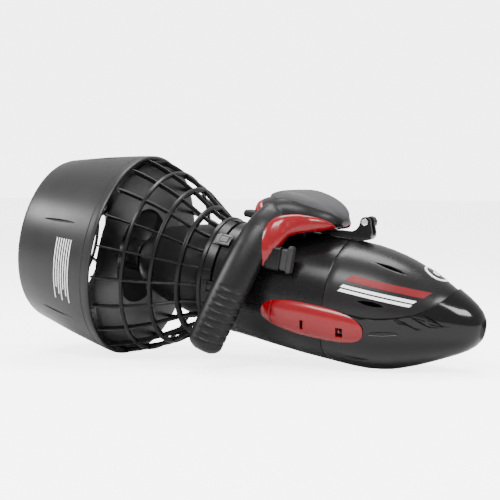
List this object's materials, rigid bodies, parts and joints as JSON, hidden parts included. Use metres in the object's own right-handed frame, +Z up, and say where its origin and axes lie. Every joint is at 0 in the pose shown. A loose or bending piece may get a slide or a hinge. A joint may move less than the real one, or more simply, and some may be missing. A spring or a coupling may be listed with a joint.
{
  "type": "underwater scooter",
  "caption": "Hand-held diver propulsion vehicle: a caged, ducted propeller behind a torpedo hull with a removable nose, side latches, two curved trigger grips and a camera bracket.",
  "frame": {"origin": "centre of the bounding box on the floor, with the scooter standing on its duct's front rim and the nose pad", "axes": "+X towards the nose, +Y to the rider's left, +Z up; the propeller's axis is pitched 9.5 degrees nose-down"},
  "size_m": [0.6854, 0.2994, 0.296],
  "materials": {
    "duct_shroud": "satin moulded plastic",
    "rear_guard": "satin moulded plastic",
    "front_cage": "satin moulded plastic",
    "cage_clip_1": "satin moulded plastic",
    "cage_clip_2": "satin moulded plastic",
    "cage_clip_3": "satin moulded plastic",
    "cage_clip_4": "satin moulded plastic",
    "motor_housing": "satin moulded plastic",
    "shaft_seal": "matt rubber",
    "shaft_bearing": "brushed",
    "bearing_carrier": "satin moulded plastic",
    "gearbox": "satin moulded plastic",
    "motor": "brushed",
    "motor_mount": "satin moulded plastic",
    "motor_end_bell": "satin moulded plastic",
    "bulkhead": "satin moulded plastic",
    "controller_board": "bare board",
    "heat_sink": "brushed",
    "battery_pack": "shrink wrap",
    "battery_tray": "satin moulded plastic",
    "battery_connector": "satin moulded plastic",
    "main_hull": "satin moulded plastic",
    "coupling_ring": "satin moulded plastic",
    "hull_seal": "matt rubber",
    "head_cover": "satin moulded plastic",
    "head_pylon": "satin moulded plastic",
    "head_floor_plate": "satin moulded plastic",
    "console_rear_cap": "satin moulded plastic",
    "crossbar": "brushed",
    "handle_left": "satin moulded plastic",
    "handle_right": "satin moulded plastic",
    "grip_left": "matt rubber",
    "grip_right": "matt rubber",
    "finger_guard_left": "gloss moulded plastic",
    "finger_guard_right": "gloss moulded plastic",
    "trigger_boss_left": "satin moulded plastic",
    "trigger_boss_right": "satin moulded plastic",
    "latch_heel_left": "gloss moulded plastic",
    "latch_heel_right": "gloss moulded plastic",
    "latch_pin_left": "brushed",
    "latch_pin_right": "brushed",
    "camera_bracket": "gloss moulded plastic",
    "mount_nut": "brushed",
    "propeller": "satin moulded plastic",
    "propeller_nut": "brushed",
    "drive_shaft": "brushed",
    "shaft_coupling": "brushed",
    "nose_panel": "satin moulded plastic",
    "nose_bumper": "gloss moulded plastic",
    "nose_frame_ring": "satin moulded plastic",
    "nose_badge": "gloss",
    "trigger_left": "satin moulded plastic",
    "trigger_right": "satin moulded plastic",
    "latch_left": "gloss moulded plastic",
    "latch_right": "gloss moulded plastic",
    "mount_screw": "brushed"
  },
  "bodies": {
    "hull": {"duct_shroud": "duct_shroud", "rear_guard": "rear_guard", "front_cage": "front_cage", "cage_clip_1": "cage_clip_1", "cage_clip_2": "cage_clip_2", "cage_clip_3": "cage_clip_3", "cage_clip_4": "cage_clip_4", "motor_housing": "motor_housing", "shaft_seal": "shaft_seal", "shaft_bearing": "shaft_bearing", "bearing_carrier": "bearing_carrier", "gearbox": "gearbox", "motor": "motor", "motor_mount": "motor_mount", "motor_end_bell": "motor_end_bell", "bulkhead": "bulkhead", "controller_board": "controller_board", "heat_sink": "heat_sink", "battery_pack": "battery_pack", "battery_tray": "battery_tray", "battery_connector": "battery_connector", "main_hull": "main_hull", "coupling_ring": "coupling_ring", "hull_seal": "hull_seal", "head_cover": "head_cover", "head_pylon": "head_pylon", "head_floor_plate": "head_floor_plate", "console_rear_cap": "console_rear_cap", "crossbar": "crossbar", "handle_left": "handle_left", "handle_right": "handle_right", "grip_left": "grip_left", "grip_right": "grip_right", "finger_guard_left": "finger_guard_left", "finger_guard_right": "finger_guard_right", "trigger_boss_left": "trigger_boss_left", "trigger_boss_right": "trigger_boss_right", "latch_heel_left": "latch_heel_left", "latch_heel_right": "latch_heel_right", "latch_pin_left": "latch_pin_left", "latch_pin_right": "latch_pin_right", "camera_bracket": "camera_bracket", "mount_nut": "mount_nut"},
    "propeller": {"propeller": "propeller", "propeller_nut": "propeller_nut", "drive_shaft": "drive_shaft", "shaft_coupling": "shaft_coupling"},
    "nose": {"nose_panel": "nose_panel", "nose_bumper": "nose_bumper", "nose_frame_ring": "nose_frame_ring", "nose_badge": "nose_badge"},
    "trigger_left": {"trigger_left": "trigger_left"},
    "trigger_right": {"trigger_right": "trigger_right"},
    "latch_left": {"latch_left": "latch_left"},
    "latch_right": {"latch_right": "latch_right"},
    "mount_screw": {"mount_screw": "mount_screw"}
  },
  "joints": [
    {"name": "propeller_spin", "type": "hinge", "parent": "hull", "child": "propeller", "pos_m": [-0.18495, 0, 0.14713], "axis": [0.9863, 0, -0.165], "continuous": true},
    {"name": "nose_pull", "type": "slide", "parent": "hull", "child": "nose", "axis": [0.9863, 0, -0.165], "range_m": [0, 0.12]},
    {"name": "trigger_left_press", "type": "slide", "parent": "hull", "child": "trigger_left", "axis": [-0.9863, 0, 0.165], "range_m": [0, 0.005], "stiffness_N_per_m": 600, "springref_m": -0.002},
    {"name": "trigger_right_press", "type": "slide", "parent": "hull", "child": "trigger_right", "axis": [-0.9863, 0, 0.165], "range_m": [0, 0.005], "stiffness_N_per_m": 600, "springref_m": -0.002},
    {"name": "latch_left_swing", "type": "hinge", "parent": "hull", "child": "latch_left", "pos_m": [0.06506, 0.08293, 0.07797], "axis": [0.157, 0.309, 0.938], "range_deg": [0, 30]},
    {"name": "latch_right_swing", "type": "hinge", "parent": "hull", "child": "latch_right", "pos_m": [0.06506, -0.08293, 0.07797], "axis": [-0.157, 0.309, -0.938], "range_deg": [0, 30]},
    {"name": "mount_screw_turn", "type": "hinge", "parent": "hull", "child": "mount_screw", "pos_m": [0.17397, 0, 0.20164], "axis": [0, 1, 0], "continuous": true}
  ]
}
